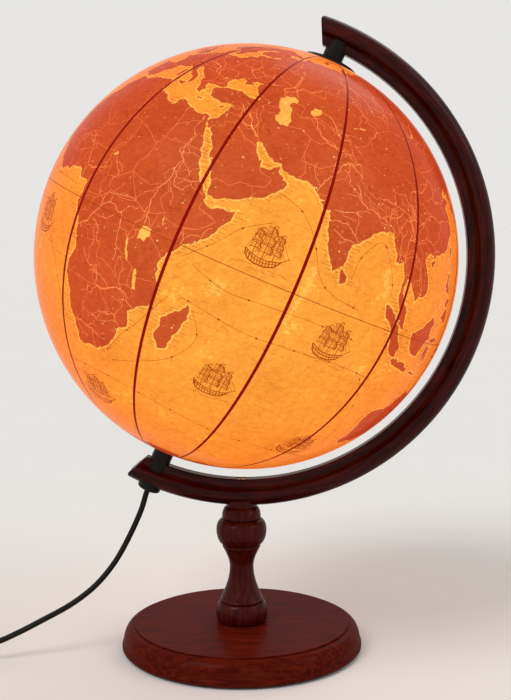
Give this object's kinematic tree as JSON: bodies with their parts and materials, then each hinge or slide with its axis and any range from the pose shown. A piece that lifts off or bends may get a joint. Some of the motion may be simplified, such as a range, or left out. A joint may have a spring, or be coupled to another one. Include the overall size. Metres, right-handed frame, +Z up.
{
  "type": "illuminated globe",
  "caption": "Lit terrestrial globe turning on a tilted axis in a moulded half-meridian arm, on a turned wooden column and round base, with flex, rocker switch and plug.",
  "frame": {"origin": "middle of the felt's lower face, on the column's axis", "axes": "+Z up along the column, the arm stands in the XZ plane with the polar axis leaning towards +X, -Y faces the camera"},
  "size_m": [0.5422, 0.32, 0.4853],
  "materials": {
    "felt": "dense felt",
    "base_wood": "mahogany stain, satin lacquer",
    "column_wood": "mahogany stain, satin lacquer",
    "arm_wood": "dark mahogany stain, satin lacquer",
    "steel": "zinc plated",
    "brass": "plain turned",
    "map_globe": "translucent shell covered with a printed map, lit from inside",
    "black_plastic": "moulded, semi-gloss",
    "lead_sleeve": "insulated wire",
    "ceramic": "glazed insulator",
    "bulb_glass": "clear lamp glass",
    "filament": "glowing wire on a glass stem",
    "flex": "smooth round flex",
    "switch_plastic": "fine moulded grain",
    "rocker_plastic": "polished",
    "plug_plastic": "fine moulded grain",
    "nickel": "nickel plated"
  },
  "bodies": {
    "stand": {"felt_pad": "felt", "base_disc": "base_wood", "base_washer": "steel", "base_screw": "steel", "column": "column_wood", "meridian_arm": "arm_wood", "arm_screw": "brass", "pivot_spring": "steel", "lamp_bush": "black_plastic", "lamp_tube": "brass", "tube_washer": "steel", "tube_nut": "brass", "cord_bush": "black_plastic", "inner_leads": "lead_sleeve", "holder_cap": "black_plastic", "holder_core": "ceramic", "holder_contact": "brass", "holder_thread": "brass", "holder_sleeve": "black_plastic", "bulb_base": "steel", "bulb_glass": "bulb_glass", "bulb_filament": "filament", "cord_lead": "flex", "switch_lower": "switch_plastic", "switch_upper": "switch_plastic", "switch_screws": "steel", "switch_contacts": "brass", "cord_link": "flex", "cord_coil": "flex", "cord_tail": "flex", "plug_body": "plug_plastic", "plug_pins": "nickel"},
    "globe": {"north_shell": "map_globe", "south_shell": "map_globe", "pole_cap": "black_plastic", "bearing_ring": "black_plastic"},
    "plunger": {"pole_plunger": "black_plastic", "pivot_pin": "steel"},
    "rocker": {"switch_rocker": "rocker_plastic"}
  },
  "joints": [
    {"name": "globe_spin", "type": "hinge", "parent": "stand", "child": "globe", "pos_m": [0.005, 0, 0.305], "axis": [0.3987, 0, 0.9171], "continuous": true},
    {"name": "plunger_slide", "type": "slide", "parent": "stand", "child": "plunger", "axis": [0.3987, 0, 0.9171], "range_m": [0, 0.007], "stiffness_N_per_m": 300, "springref_m": -0.01, "deforming": ["pivot_spring"]},
    {"name": "rocker_tip", "type": "hinge", "parent": "stand", "child": "rocker", "pos_m": [-0.252, -0.0655, 0.015], "axis": [0.342, -0.9397, 0], "range_deg": [-16, 0]}
  ]
}
